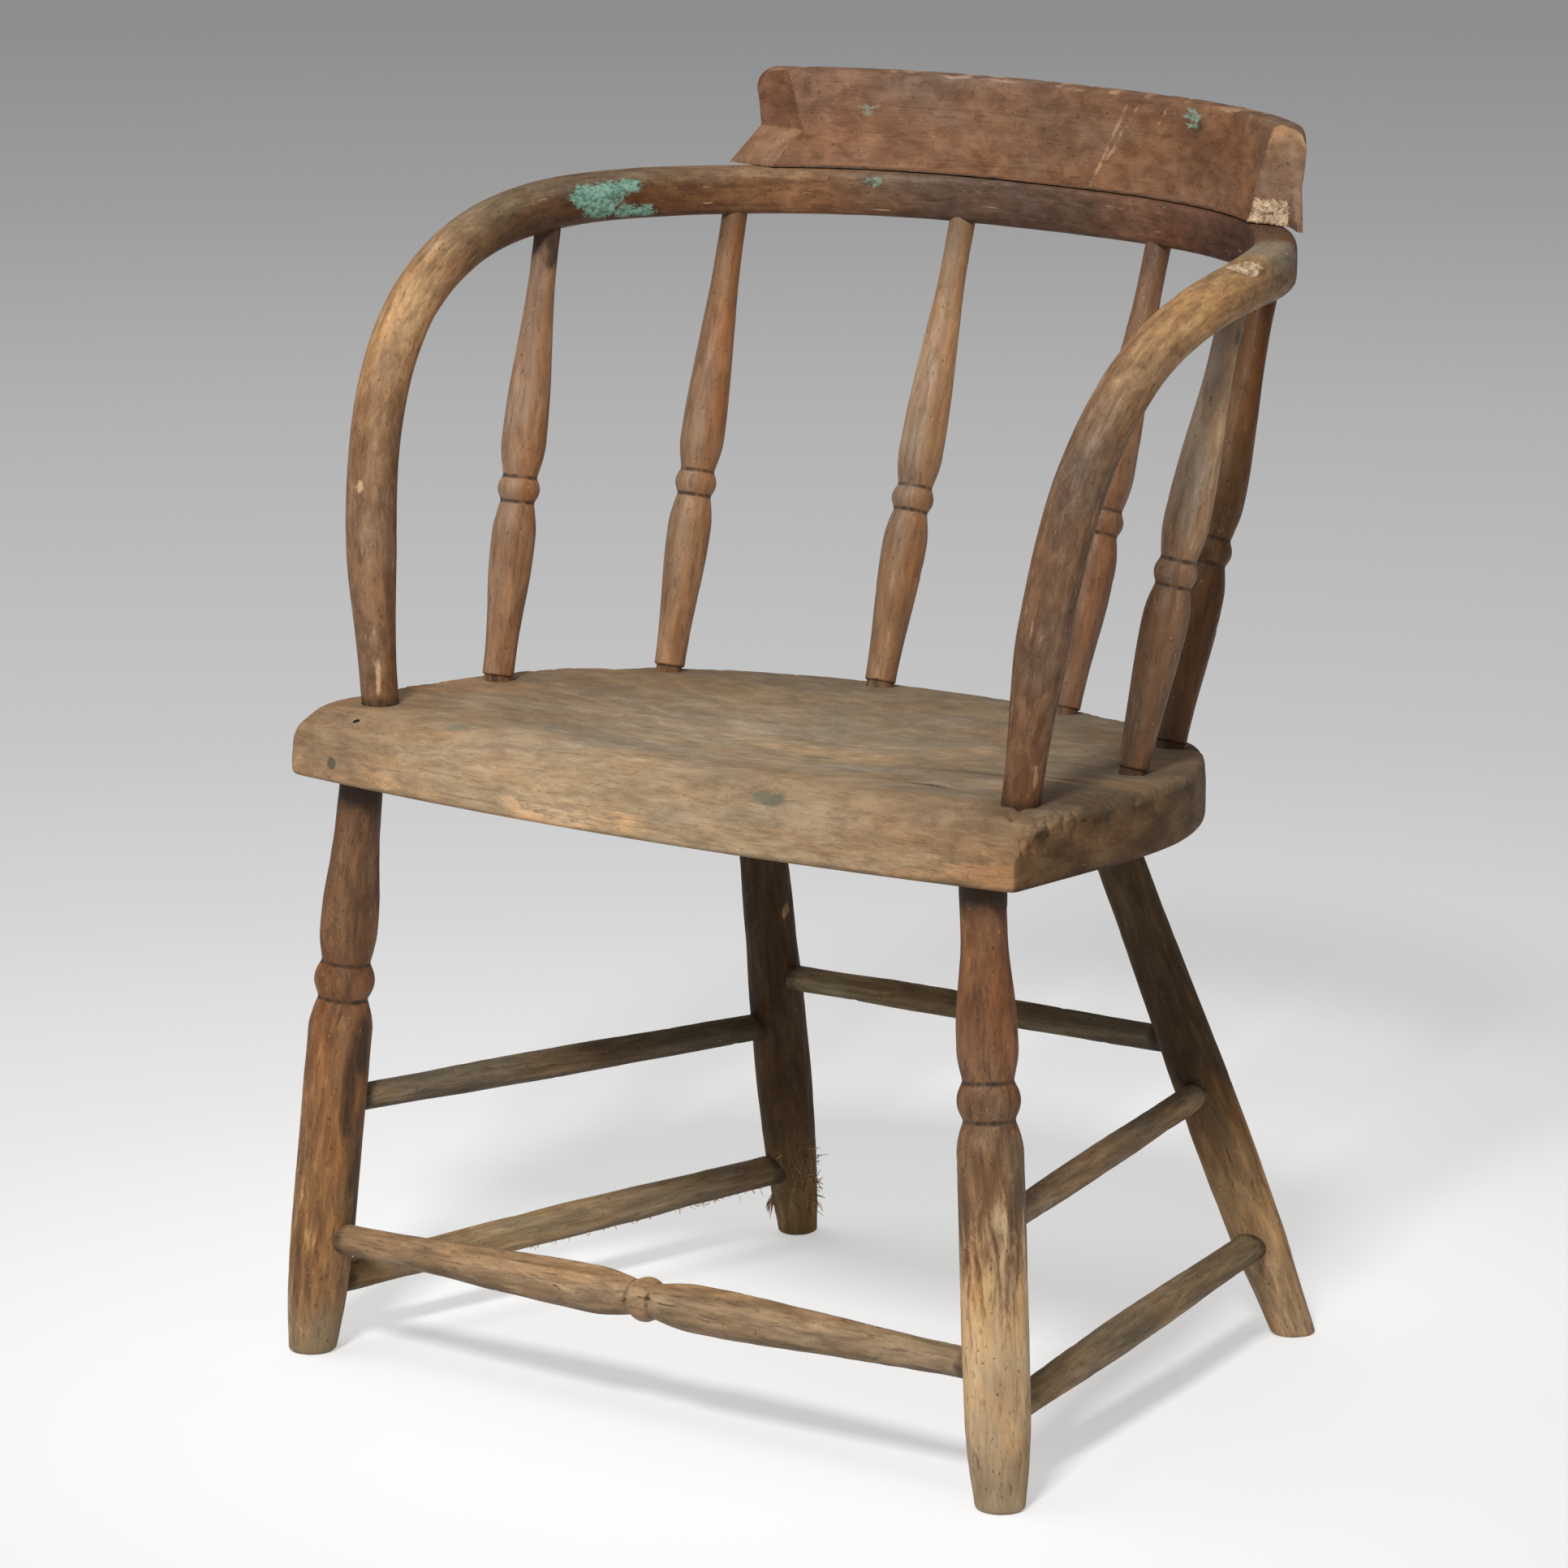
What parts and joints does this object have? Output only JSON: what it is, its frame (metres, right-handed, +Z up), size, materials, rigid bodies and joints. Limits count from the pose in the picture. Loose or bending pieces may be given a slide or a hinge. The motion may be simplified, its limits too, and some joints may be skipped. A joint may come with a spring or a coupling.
{
  "type": "bow-backed turned armchair",
  "caption": "Low-backed wooden armchair with a saddled plank seat, one bent rail for arms and back, a raised crest board, turned spindles and splayed turned legs braced by stretchers.",
  "frame": {"origin": "on the floor, below the middle of the chair's box", "axes": "+Z is up, the sitter faces -Y, +X is on the right of someone who looks at the front of the chair"},
  "size_m": [0.6028, 0.4974, 0.8208],
  "materials": {
    "seat_wood": "worn grey-tan wood, matt",
    "bow_wood": "rubbed brown wood, satin",
    "crest_wood": "red-brown stained wood, satin",
    "dowel_wood": "bare pale wood",
    "spindle_wood": "brown stained wood, satin",
    "front_leg_wood": "worn brown wood, pale where rubbed",
    "rear_leg_wood": "dark brown wood, dull",
    "stretcher_wood": "dull grey-brown wood"
  },
  "bodies": {
    "root": {"seat": "seat_wood", "bow": "bow_wood", "crest": "crest_wood", "crest_dowel_left": "dowel_wood", "crest_dowel_centre": "dowel_wood", "crest_dowel_right": "dowel_wood", "spindle_left_side": "spindle_wood", "spindle_left_mid": "spindle_wood", "spindle_left_back": "spindle_wood", "spindle_right_back": "spindle_wood", "spindle_right_mid": "spindle_wood", "spindle_right_side": "spindle_wood", "front_leg_left": "front_leg_wood", "front_leg_right": "front_leg_wood", "rear_leg_left": "rear_leg_wood", "rear_leg_right": "rear_leg_wood", "front_stretcher": "stretcher_wood", "rear_stretcher": "stretcher_wood", "side_stretcher_left_upper": "stretcher_wood", "side_stretcher_left_lower": "stretcher_wood", "side_stretcher_right_upper": "stretcher_wood", "side_stretcher_right_lower": "stretcher_wood"}
  },
  "joints": []
}
